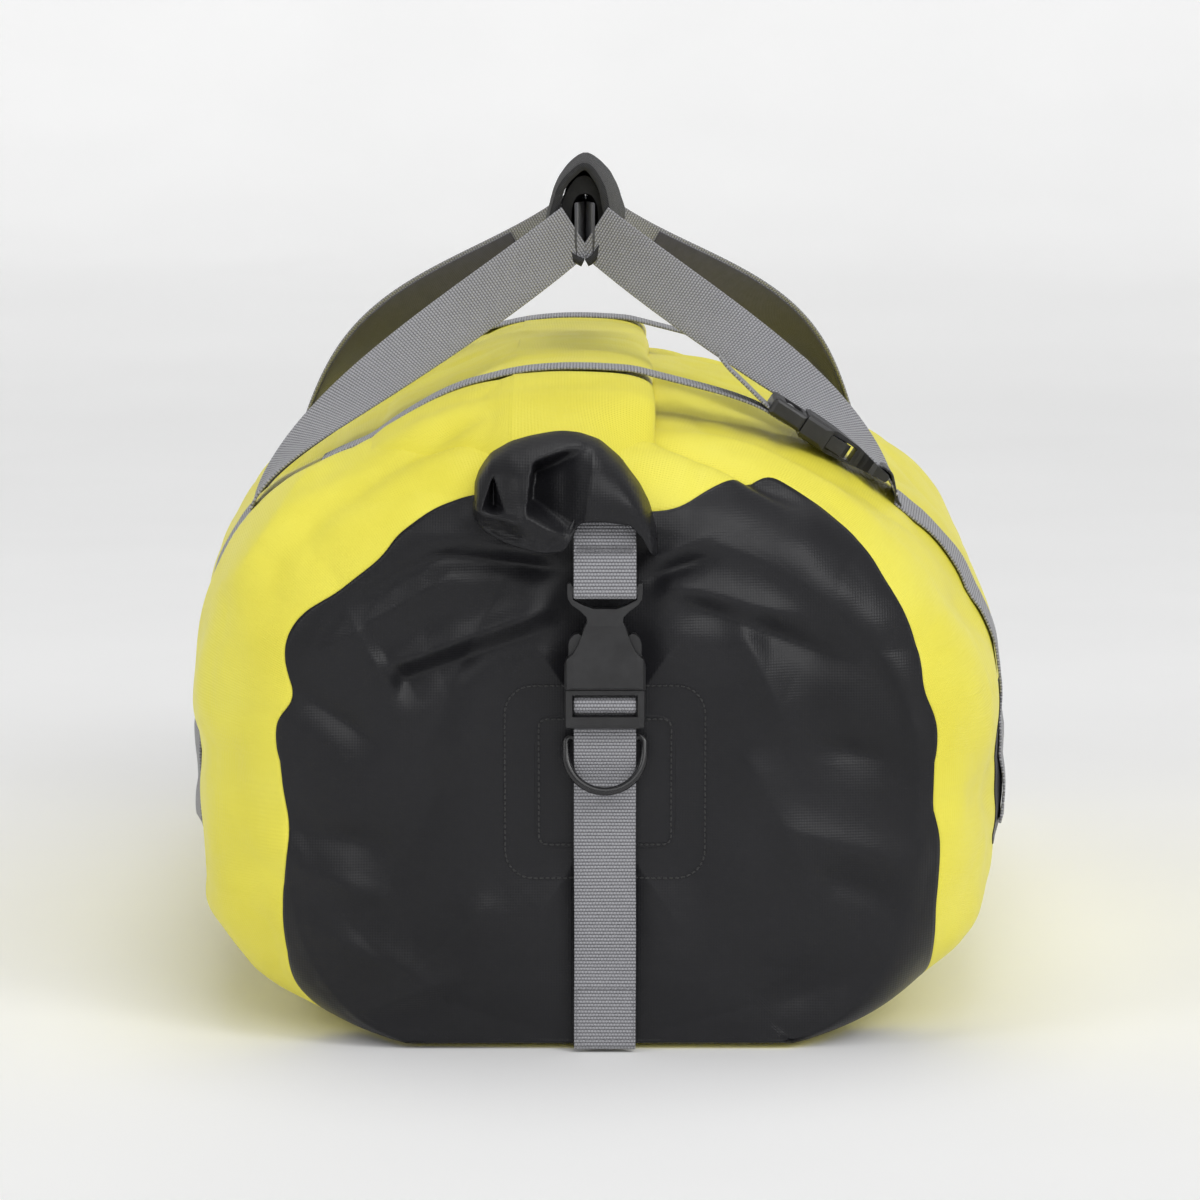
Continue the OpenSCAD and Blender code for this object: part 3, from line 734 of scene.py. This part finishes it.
# Folds of a hood: start and end (x, z) in mm, height and width.
HOOD_FOLDS = [
    ((-6, 250), (-27, 241), 1.0, 4.5), ((-31, 222), (-13, 210.5), 1.6, 3.5), ((-50, 223), (-30, 218), 2.6, 2.0),
    ((-48, 216), (-28, 212), -3.0, 2.6), ((4, 244), (17, 224), 1.2, 7), ((-22, 208), (-12, 214), -2, 3)]


def hood_hollows(x, z):
    """Depth of the two creased hollows: a wide one with a sharp left edge, and a small three-cornered one."""
    edge = -29.3 + 2.4 * (z - 222) / 20
    under = 242.5 + (x + 27) / 19 * 8 - z
    over = z - (222 - (x + 29) / 18 * 10)
    big = step(x - edge, -0.2, 1.6) * np.clip(1 - (x - edge) / 24, 0, 1) ** 0.85
    big = big * step(under, -0.5, 7) * step(over, -1, 6)
    half_width = np.maximum((236.5 - z) / 14 * 5.0, 0.3)
    small = np.clip(1 - np.abs(x + 42.6) / half_width, 0, 1) * step(z, 220.5, 224.5) * step(236.5 - z, 0, 4)
    return 18 * big + 9 * small


# Height of a hood's lip and of its top over x, both in mm.
HOOD_LIP = ([-51, -46, -38, -30, -22, -14, -11, -8, 0, 12, 17, 20, 22],
            [221, 215, 211, 209, 207, 208, 214, 219.5, 220, 218.5, 213, 207, 205])
HOOD_TOP = ([-51.5, -49, -44, -36, -28, -18, -8, 0, 8, 16, 20, 22],
            [229, 235, 241, 245, 247, 248.5, 249, 246.5, 240, 231, 224, 217])
# Its middle line from the roll down to the lip: out from the panel and height, in mm.
HOOD_LINE = [(-13, 255.5), (-6, 254.5), (2, 252), (9, 247.5), (15, 241), (19, 232), (20.4, 222), (20, 212)]


def make_hood(name, side):
    """The end of the roll, folded down over the end panel with a creased hollow on its left."""
    profile = curve(HOOD_LINE, 90)
    u = np.linspace(-1, 1, 151)
    x = ROLL_X / MM + 36.5 * np.sin(u * math.pi / 2)
    lip, top = np.interp(x, *HOOD_LIP), np.interp(x, *HOOD_TOP)
    for _ in range(6):
        lip, top = (np.concatenate([v[:1], (v[:-2] + 2 * v[1:-1] + v[2:]) / 4, v[-1:]]) for v in (lip, top))
    rows = []
    for k, (e, z) in enumerate(profile):
        v = k / (len(profile) - 1)
        zz = lip + (z - 212) / 40 * (top - lip)
        dome = (1 - np.abs(u) ** 3.4) ** 0.5
        lobe = 4.0 * step(-x, 31, 42) * step(v, 0.25, 0.6)
        ex = e - (10 + 10 * step(v, 0.1, 0.6)) * (1 - dome) - lobe
        wave = folds(np.stack([x * MM, zz * MM], axis=-1), HOOD_FOLDS, 1.6)
        ex = ex + (wave - hood_hollows(x, zz)) * step(v, 0.15, 0.4)
        rows.append(np.stack([x, ex, zz], axis=-1))
    hem = rows[-1]
    for de, dz in ((-0.5, -0.9), (-1.3, -0.9), (-1.8, 0.2), (-2.0, 5)):
        rows.append(hem + np.array([0, de, dz]))
    q = np.array(rows)
    pts = np.stack([q[..., 0], side * (PANEL / MM + q[..., 1]), q[..., 2]], axis=-1) * MM
    pts[..., 1] += side * 0.6 * MM * noise(pts, (0.012, 0.5, 0.014), 41)
    hood = thicken(grid_mesh(name + "_hood", pts if side > 0 else pts[:, ::-1]), 0.5 * MM)
    finish_piece(hood, BLACK, "bag", [name + "_roll_end"])


make_roll()
make_hood("front", -1)
make_hood("rear", 1)


# ---------- end straps ----------
WEB_W = 25 * MM
WEB_T = 1.15 * MM
BAR_TOP = 40.2                             # from a buckle's seam to the top of the female half's bar, in mm


def chaikin(points):
    """The line with its corners cut three times."""
    p = np.asarray(points, float)
    for _ in range(3):
        q = 0.75 * p[:-1] + 0.25 * p[1:]
        r = 0.25 * p[:-1] + 0.75 * p[1:]
        p = np.concatenate([p[:1], np.stack([q, r], axis=1).reshape(-1, p.shape[1]), p[-1:]])
    return p


def spaced(p, gap):
    """The line p as evenly spaced points, about gap apart."""
    length = length_along(p)[-1]
    return points_at(p, np.linspace(0, length, max(2, int(length / gap))))


def end_band(name, node, side, points, t, body="bag"):
    """Webbing in the upright plane of an end: points are (out from the panel, height) in mm."""
    x = (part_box(node)[0].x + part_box(node)[1].x) / 2
    p = spaced(chaikin(points), 1.2) * MM
    centres = np.stack([np.full(len(p), x), side * (PANEL + p[:, 0]), p[:, 1]], axis=1)
    wander = 0.35 * MM * noise(centres + 0.5, (1, 1, 0.05), 51)
    centres[:, 0] += wander * step(120 * MM - centres[:, 2], 0, 0.05)
    obj = strap(name, centres, np.tile([1.0, 0, 0], (len(p), 1)), WEB_W, t)
    return finish_piece(obj, GREY_WEB, body, [node])


def rounded_line(w, h, r, n=10):
    """A closed line round a rectangle with rounded corners."""
    pts = []
    for cx, cz, a0 in ((w / 2 - r, h / 2 - r, 0), (r - w / 2, h / 2 - r, 90), (r - w / 2, r - h / 2, 180),
                       (w / 2 - r, r - h / 2, 270)):
        for k in range(n + 1):
            a = math.radians(a0 + 90 * k / n)
            pts.append((cx + r * math.cos(a), cz + r * math.sin(a)))
    return pts + pts[:1]


def make_end(name, side):
    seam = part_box(name + "_buckle_female")[0].z / MM - 0.2
    out = 12.8
    route = [(2.8, 85), (2.8, 106), (3.4, 111), (5, 117), (9, 126), (9, seam - 5.2), (10.4, seam - 3.5),
             (13.8, seam - 3.5), (15.2, seam - 5), (15.2, seam - 8.2), (13.8, seam - 9.6), (11.6, seam - 9.6),
             (10.4, seam - 10.8), (10.4, 125.5), (7.6, 116), (6.2, 105), (5.8, 80), (6.3, 50), (5.9, 30),
             (6.4, 29), (6.6, 14), (6.5, 2.2), (5.8, 1.6), (5.1, 2.2), (5.0, 28)]
    end_band(name + "_tail_strap", name + "_closure_strap", side, route, WEB_T)
    bar = [math.radians(a) for a in range(180, 361, 20)]
    ring = [(2.7, 148), (2.7, 130)] + [(5.15 + 2.5 * math.cos(a), 130 + 2.5 * math.sin(a)) for a in bar]
    ring += [(7.3, 133.5), (4.2, 139), (4.1, 148)]
    end_band(name + "_ring_loop", name + "_d_ring_loop", side, ring, 1.0 * MM)
    b = seam + BAR_TOP
    loop = [(7.0, 224), (out - 1.6, 212), (out - 0.7, 203), (out - 3.1, 197), (out - 3.1, b - 2.2),
            (out - 2, b - 3.3), (out + 2, b - 3.3), (out + 3.1, b - 2.2), (out + 3.1, 197), (out + 0.7, 205),
            (out - 0.2, 212), (8.4, 224)]
    held = end_band(name + "_held_loop", name + "_buckle_loop", side, loop, WEB_T, None)
    tack = [[(x * MM, side * (PANEL + (out + rise) * MM), z * MM) for x in (-9.5, 13.5)]
            for z, rise in ((206, 1.55), (207.2, 1.45), (208.4, 1.34))]
    tack = stitches(name + "_loop_tack", tack, (0, side, 0), 1.7 * MM, 1.5 * MM, 0.3 * MM)
    finish_piece(tack, GREY_THREAD, None)
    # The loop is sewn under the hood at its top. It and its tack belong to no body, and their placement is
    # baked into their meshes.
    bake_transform(held)
    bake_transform(tack)
    hem = [[(x * MM, side * (PANEL + 7.05 * MM), z * MM) for x in (-9.5, 13.5)] for z in (26.5, 5.5)]
    hem += [[(x * MM, side * (PANEL + 7.05 * MM), z * MM) for z in (5.5, 26.5)] for x in (-9.5, 13.5)]
    finish_piece(stitches(name + "_hem_stitches", hem, (0, side, 0)), GREY_THREAD, "bag")
    end_patch(name + "_wide_patch", name + "_outer_patch", 85 * MM, 83 * MM, 0.3 * MM, 0.8 * MM)
    end_patch(name + "_small_patch", name + "_inner_patch", 57 * MM, 55 * MM, 1.1 * MM, 0.7 * MM)
    lines = []
    for w, h, r, lift in ((53.5, 51.5, 3, 2.0), (81, 79, 11.5, 1.3)):
        outline = spaced(np.array(rounded_line(w, h, r)), 1.0) * MM
        lines.append(end_points(outline[:, 0] + 2 * MM, outline[:, 1] + 111 * MM, side, lift * MM))
    seams = stitches(name + "_patch_stitches", lines, (0, side, 0), 2.4 * MM, 1.7 * MM, 0.34 * MM)
    finish_piece(seams, BLACK_THREAD, "bag")


make_end("front", -1)
make_end("rear", 1)


# ---------- straps across the roll ----------
SEAM = np.array([86.0, 246.5])
TILT = math.radians(33)


def cross_point(run, out):
    """A point (x, z) in mm, down the right slope from the buckle's seam and out from the slope."""
    return tuple(SEAM + run * np.array([math.cos(TILT), -math.sin(TILT)])
                 + out * np.array([math.sin(TILT), math.cos(TILT)]))


def cross_band(name, node, points, width, t, material):
    """Webbing across the bag: points are (x, z) in mm."""
    lo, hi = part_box(node)
    y = (lo.y + hi.y) / 2
    p = spaced(chaikin(points), 1.2) * MM
    centres = np.stack([p[:, 0], np.full(len(p), y), p[:, 1]], axis=1)
    obj = strap(name, centres, np.tile([0, 1.0, 0], (len(p), 1)), width, t)
    return finish_piece(obj, material, None, [node])


def make_cross(name, side):
    y = side * STRAP_Y
    top = roll_box[1].z / MM + 1.1
    points = [(x, max(top_height(y + s * 0.011, np.array([x * MM]))[0] for s in (-1, 0, 1)) / MM + 1.3)
              for x in (-118, -108, -98, -88, -78, -68, -58, -48, -38, -28, -16, -4, 6)]
    points += [(14, points[-1][1] - 0.6), (21, top - 2.6)]
    points += [cross_point(*q) for q in (
        (-24, -3.9), (-5, -3.9), (-3.5, -2.4), (-3.5, 1), (-5, 2.4), (-8.2, 2.4), (-9.6, 1), (-9.6, -1.2),
        (-10.8, -2.4), (-17, -2.2), (-30, 0.6), (-40, 2.4), (-46, 4.8))]
    obj = cross_band(name + "_roll_strap", name + "_cross_strap", points, WEB_W, 1.1 * MM, GREY_WEB)
    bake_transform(obj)
    b = BAR_TOP
    root = skin_height(y, 126.5 * MM) / MM + 1.5
    points = [(128, root - 1.5), (126.5, root)]
    points += [cross_point(*q) for q in ((b + 4.6, 1.6), (b + 2.8, 3.1), (b - 2.2, 3.1), (b - 3.3, 2),
                                         (b - 3.3, -1.4))]
    obj = cross_band(name + "_anchor_web", name + "_cross_anchor", points, 24.6 * MM, 1.05 * MM, BLACK_WEB)
    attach(obj, "bag")


make_cross("fore", -1)
make_cross("aft", 1)


# ---------- handles ----------
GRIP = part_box("grip_cover")
GRIP_X = (GRIP[0].x + GRIP[1].x) / 2
GRIP_TOP = GRIP[1].z
GRIP_L = GRIP[1].y - GRIP[0].y
WEB_Z = GRIP_TOP - 28 * MM
BASE_LOW = math.radians(-10)


def base_angle(right):
    """Angle round the section where a handle leaves the side of the bag."""
    theta = np.linspace(0.1, 1.4, 600)
    theta = theta if right else math.pi - theta
    p = skin(theta, np.full_like(theta, STRAP_Y))
    return theta[np.argmin(np.abs(p[:, 2] - (211 if right else 207) * MM))]


def side_band(name, right, y):
    """The sewn stretch of a handle, from the side patch up to where the leg leaves the bag."""
    theta = np.linspace(BASE_LOW if right else math.pi - BASE_LOW, base_angle(right), 90)
    lift = 2.0 * MM
    a, b = (skin(theta, np.full_like(theta, y + d), lift) for d in (-WEB_W / 2, WEB_W / 2))
    centres = skin(theta, np.full_like(theta, y), lift)
    return strap(name, centres, b - a, WEB_W, WEB_T)


def leg_points(right, t, bow):
    """Centre line of a front leg from its root to the grip; bow pushes its middle up and outwards."""
    m = 1 if right else -1
    a = skin(np.array([base_angle(right)]), np.array([-STRAP_Y]), 2.2 * MM)[0]
    b = np.array([GRIP_X + m * 4 * MM, -GRIP_L / 2 + 2 * MM, WEB_Z])
    k = [a + np.array([0, 0, 0.6]) * MM, a + np.array([-m * 10, 3, 34]) * MM,
         b + np.array([m * 50, -25, -40]) * MM, b]
    t = t[:, None]
    p = (1 - t) ** 3 * k[0] + 3 * t * (1 - t) ** 2 * k[1] + 3 * t * t * (1 - t) * k[2] + t ** 3 * k[3]
    return p + bow * np.sin(t * math.pi) ** 2 * np.array([m * 0.6, 0, 0.8])


def make_leg(name, right, side):
    n = 220
    t = np.linspace(0, 1, n)
    p = leg_points(right, t, 10 * MM if side > 0 else 0)
    w = np.stack([0 * t, np.cos(t * math.pi / 2), np.sin(t * math.pi / 2)], axis=1)
    d = unit(np.gradient(p, axis=0))
    w = unit(w - (w * d).sum(-1, keepdims=True) * d)
    inner = np.cross(d, w) * (1 if right else -1)
    flip = np.array([1, -side, 1])
    lined = slice(18, 186)
    node = name + ("_right" if right else "_left")
    for suffix, centres, width, thick, material, slot in (
            ("_leg", p, WEB_W, 1.2 * MM, GREY_WEB, "grey_webbing"),
            ("_lining", p[lined] + inner[lined] * 1.15 * MM, 21.5 * MM, 0.9 * MM, LINING, "dark_lining")):
        across = w if suffix == "_leg" else w[lined]
        obj = strap(node + suffix + "_web", centres * flip, across * flip, width, thick)
        finish_piece(obj, material, None, [node + suffix])
        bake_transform(obj)


def make_handles():
    for right in (False, True):
        label = "right" if right else "left"
        strips, pads = [], []
        for y in (-STRAP_Y, STRAP_Y):
            strips.append(side_band(label + "_base_web", right, y))
            theta = np.linspace(BASE_LOW - math.radians(3), BASE_LOW + math.radians(14), 40)[:, None]
            theta = theta if right else math.pi - theta
            ys = (y + np.linspace(-22, 22, 40) * MM)[None, :]
            rows = skin(theta + 0 * ys, ys + 0 * theta, 0.9 * MM)
            pads.append(thicken(grid_mesh(label + "_pad", rows[:, ::-1] if right else rows), 0.7 * MM, 0))
        for obj in strips:
            finish_piece(obj, GREY_WEB, "bag", [label + "_handle_base"])
        for obj in pads:
            finish_piece(obj, BLACK, "bag", [label + "_side_patches"])
        for name, side in (("front", -1), ("rear", 1)):
            make_leg(name, right, side)
        y = np.linspace(-GRIP_L / 2 + 1 * MM, GRIP_L / 2 - 1 * MM, 60)
        apart = 0.62 + 3.38 * step(np.abs(y), GRIP_L / 2 - 30 * MM, GRIP_L / 2)
        x = GRIP_X + (1 if right else -1) * apart * MM
        centres = np.stack([x, y, np.full(60, WEB_Z)], axis=1)
        web = strap(label + "_inner_web", centres, np.tile([0, 0, 1.0], (60, 1)), 24 * MM, WEB_T)
        finish_piece(web, GREY_WEB, "grip", [label + "_grip_web"])


def both_sides(half, n=60):
    """A line over the top of the grip from its right half in mm, in metres."""
    return curve(half + [(-x, z) for x, z in reversed(half)], n) * MM


def grip_lean(x, y):
    """The wrap's right side stands out more and more towards the rear end."""
    share = y / GRIP_L + 0.5
    return np.where(x > 0, x * (0.74 + 0.44 * share), x)


def make_grip():
    y = np.linspace(-GRIP_L / 2, GRIP_L / 2, 110)
    # Section of the wrap: a point on top, soft shoulders and a slack seam underneath.
    sec = both_sides([(0.1, 308.5), (5.4, 311.2), (11.6, 317.5), (14.2, 326), (12.4, 334), (9.6, 342),
                      (6.4, 346.6), (2.6, 350.2), (0.3, 351.6)], 120)
    rows = []
    for v in y:
        p = np.stack([GRIP_X + grip_lean(sec[:, 0], v), np.full(len(sec), v), sec[:, 1]], axis=1)
        out = unit(p - np.array([GRIP_X, v, GRIP_TOP - 26 * MM]))
        h = 0.9 * noise(p, (0.02, 0.03, 0.02), 61) + 0.5 * crumple(p, (0.012, 0.02, 0.012), 63)
        h -= 0.8 * np.exp(-((GRIP_L / 2 - abs(v)) / (5 * MM)) ** 2)
        rows.append(p + out * (h[:, None] - 0.9) * MM)
    uv = np.stack(np.meshgrid(np.linspace(0, 0.13, len(sec)), y), axis=-1)
    cover = thicken(grid_mesh("grip_wrap", np.array(rows), uv), 3.3 * MM)
    finish_piece(cover, GRIP_FABRIC, "grip", ["grip_cover"])
    run = np.linspace(4 * MM - GRIP_L / 2, GRIP_L / 2 - 4 * MM, 30)
    seam = [(GRIP_X + grip_lean(9.2 * MM, v), v, 343.6 * MM) for v in run]
    finish_piece(stitches("grip_seams", [seam], (1, 0, 1)), BLACK_THREAD, "grip")


def sheet_on_slope(name, node, a, b, out, t, material, body, curl=0.0):
    """A strip on the grip's left slope, between heights a and b up the slope (mm)."""
    lo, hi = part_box(node)
    y = np.linspace(lo.y, hi.y, 70)
    low, high = np.array([-13.5, 325.0]), np.array([-5.5, 346.5])
    up = unit(high - low)
    off = np.array([-up[1], up[0]])
    k = np.linspace(a, b, 26)
    gk, gy = np.meshgrid(k, y)
    ripple = 0.25 * noise(np.stack([gk * MM, gy, gk * 0], -1), (0.012, 0.02, 1), 71)
    h = out + ripple + curl * np.exp(-(gk - a) / 2.5)
    x, z = ((low[i] + up[i] * gk + off[i] * h) * MM for i in (0, 1))
    p = np.stack([GRIP_X + x, gy, z], axis=-1)
    obj = thicken(grid_mesh(name, p, np.stack([gk * MM, gy], axis=-1)), t, 0)
    return finish_piece(obj, material, body, [node])


def make_grip_parts():
    sheet_on_slope("flap_sheet", "grip_flap", 0, 21.5, 3.6, 1.2 * MM, GRIP_FABRIC, "grip_flap",
                   0.4)
    sheet_on_slope("hook_sheet", "hook_strip", 2, 18, 2.5, 0.7 * MM, HOOKS, "grip_flap")
    sheet_on_slope("loop_sheet", "loop_strip", 1, 18.5, 1.5, 0.7 * MM, LOOPS, "grip")
    y = np.linspace(-GRIP_L / 2 + 3 * MM, GRIP_L / 2 - 3 * MM, 80)
    outer = both_sides([(9.6, 315), (11.2, 326), (10.2, 334), (7.5, 341), (3.0, 346.4)])
    slot_end = both_sides([(5.6, 316), (6.0, 326), (5.6, 333), (3.8, 337.5), (1.5, 339)])
    slot_middle = both_sides([(2.2, 315), (2.2, 326), (2.1, 332), (1.5, 336.6), (0.6, 337.4)])
    open_share = step(np.abs(y), GRIP_L / 2 - 34 * MM, GRIP_L / 2 - 6 * MM)
    outside, inside = [], []
    for v, k in zip(y, open_share):
        out, slot = outer.copy(), slot_middle + (slot_end - slot_middle) * k
        out[:, 0] = grip_lean(out[:, 0], v)
        slot[:, 0] = np.clip(slot[:, 0], out[:, 0].min() + 1 * MM, out[:, 0].max() - 1 * MM)
        outside.append([(GRIP_X + x, v, z) for x, z in out])
        inside.append([(GRIP_X + x, v, z) for x, z in slot])
    foam = solid_between("foam_core", np.array(outside), np.array(inside))
    finish_piece(foam, FOAM, "grip", ["grip_foam"])


make_handles()
make_grip()
make_grip_parts()


# ---------- finish of the hardware ----------
def finish_hardware():
    """The moulded pieces keep their exact CAD shape and get their material here."""
    finishes = (("_d_ring", RING), ("buckle_male", BUCKLE), ("buckle_female", BUCKLE), ("_arm", BUCKLE),
                ("cross_male", BUCKLE), ("cross_female", BUCKLE), ("lip_stiffener", STIFF))
    for obj in bpy.context.scene.objects:
        material = next((m for ending, m in finishes if obj.name.endswith(ending)), None)
        if obj.type == "MESH" and material:
            finish_piece(obj, material, None)


finish_hardware()


# ---------- light, floor and finish ----------
def make_stage():
    scene = bpy.context.scene
    scene.view_settings.view_transform = "Standard"
    world = bpy.data.worlds.new("studio")
    world.use_nodes = True
    background = world.node_tree.nodes["Background"].inputs
    background["Color"].default_value, background["Strength"].default_value = (1, 1, 1, 1), 0.34
    scene.world = world
    # A round floor that sweeps up into a low backdrop on all sides.
    bend = np.linspace(0.05, math.pi / 2, 24)
    r = np.concatenate([np.linspace(0.001, 5, 40), 5 + 2 * np.sin(bend)])
    z = np.concatenate([np.zeros(40), 2 - 2 * np.cos(bend)]) - 0.0002
    around = np.linspace(0, 2 * math.pi, 120, endpoint=False)
    x, y = r[:, None] * np.cos(around), r[:, None] * np.sin(around)
    rows = np.stack(np.broadcast_arrays(x, y, z[:, None]), axis=-1)
    floor = grid_mesh("floor", rows, wrap=True)
    p = Paint("floor_paint", 0.9, Emission_Color=(1, 1, 1, 1))
    n = p.noise(p.coord(), 3, 3, 0.5)
    far = p.node("ShaderNodeVectorMath", {}, {0: p.coord()}, operation="LENGTH").outputs["Value"]
    span = {"From Min": 1.0, "From Max": 3.5, "To Min": 0.0, "To Max": 0.16}
    glow = p.node("ShaderNodeMapRange", span, {"Value": far}).outputs["Result"]
    pale = p.ramp(n, [(0.3, (0.90, 0.90, 0.90)), (0.7, (0.93, 0.93, 0.93))])
    floor.data.materials.append(p.use(Base_Color=pale, Emission_Strength=glow))
    lamps = [("key", (2.0, -1.9, 2.1), 1.2, 18), ("fill", (-2.1, -1.6, 1.8), 1.2, 11),
             ("top", (0, 0.3, 2.6), 1.6, 15)]
    sun = bpy.data.objects.new("sun", bpy.data.lights.new("sun", "SUN"))
    sun.data.energy, sun.data.angle = 1.1, math.radians(50)
    sun.rotation_euler = Vector((-0.4, 1.0, -1.0)).to_track_quat("-Z", "Y").to_euler()
    scene.collection.objects.link(sun)
    for name, place, size, power in lamps:
        data = bpy.data.lights.new(name, "AREA")
        data.shape, data.size, data.energy = "DISK", size, power
        lamp = bpy.data.objects.new(name, data)
        lamp.location = place
        lamp.rotation_euler = (Vector((0, 0, 0.15)) - Vector(place)).to_track_quat("-Z", "Y").to_euler()
        scene.collection.objects.link(lamp)


make_stage()
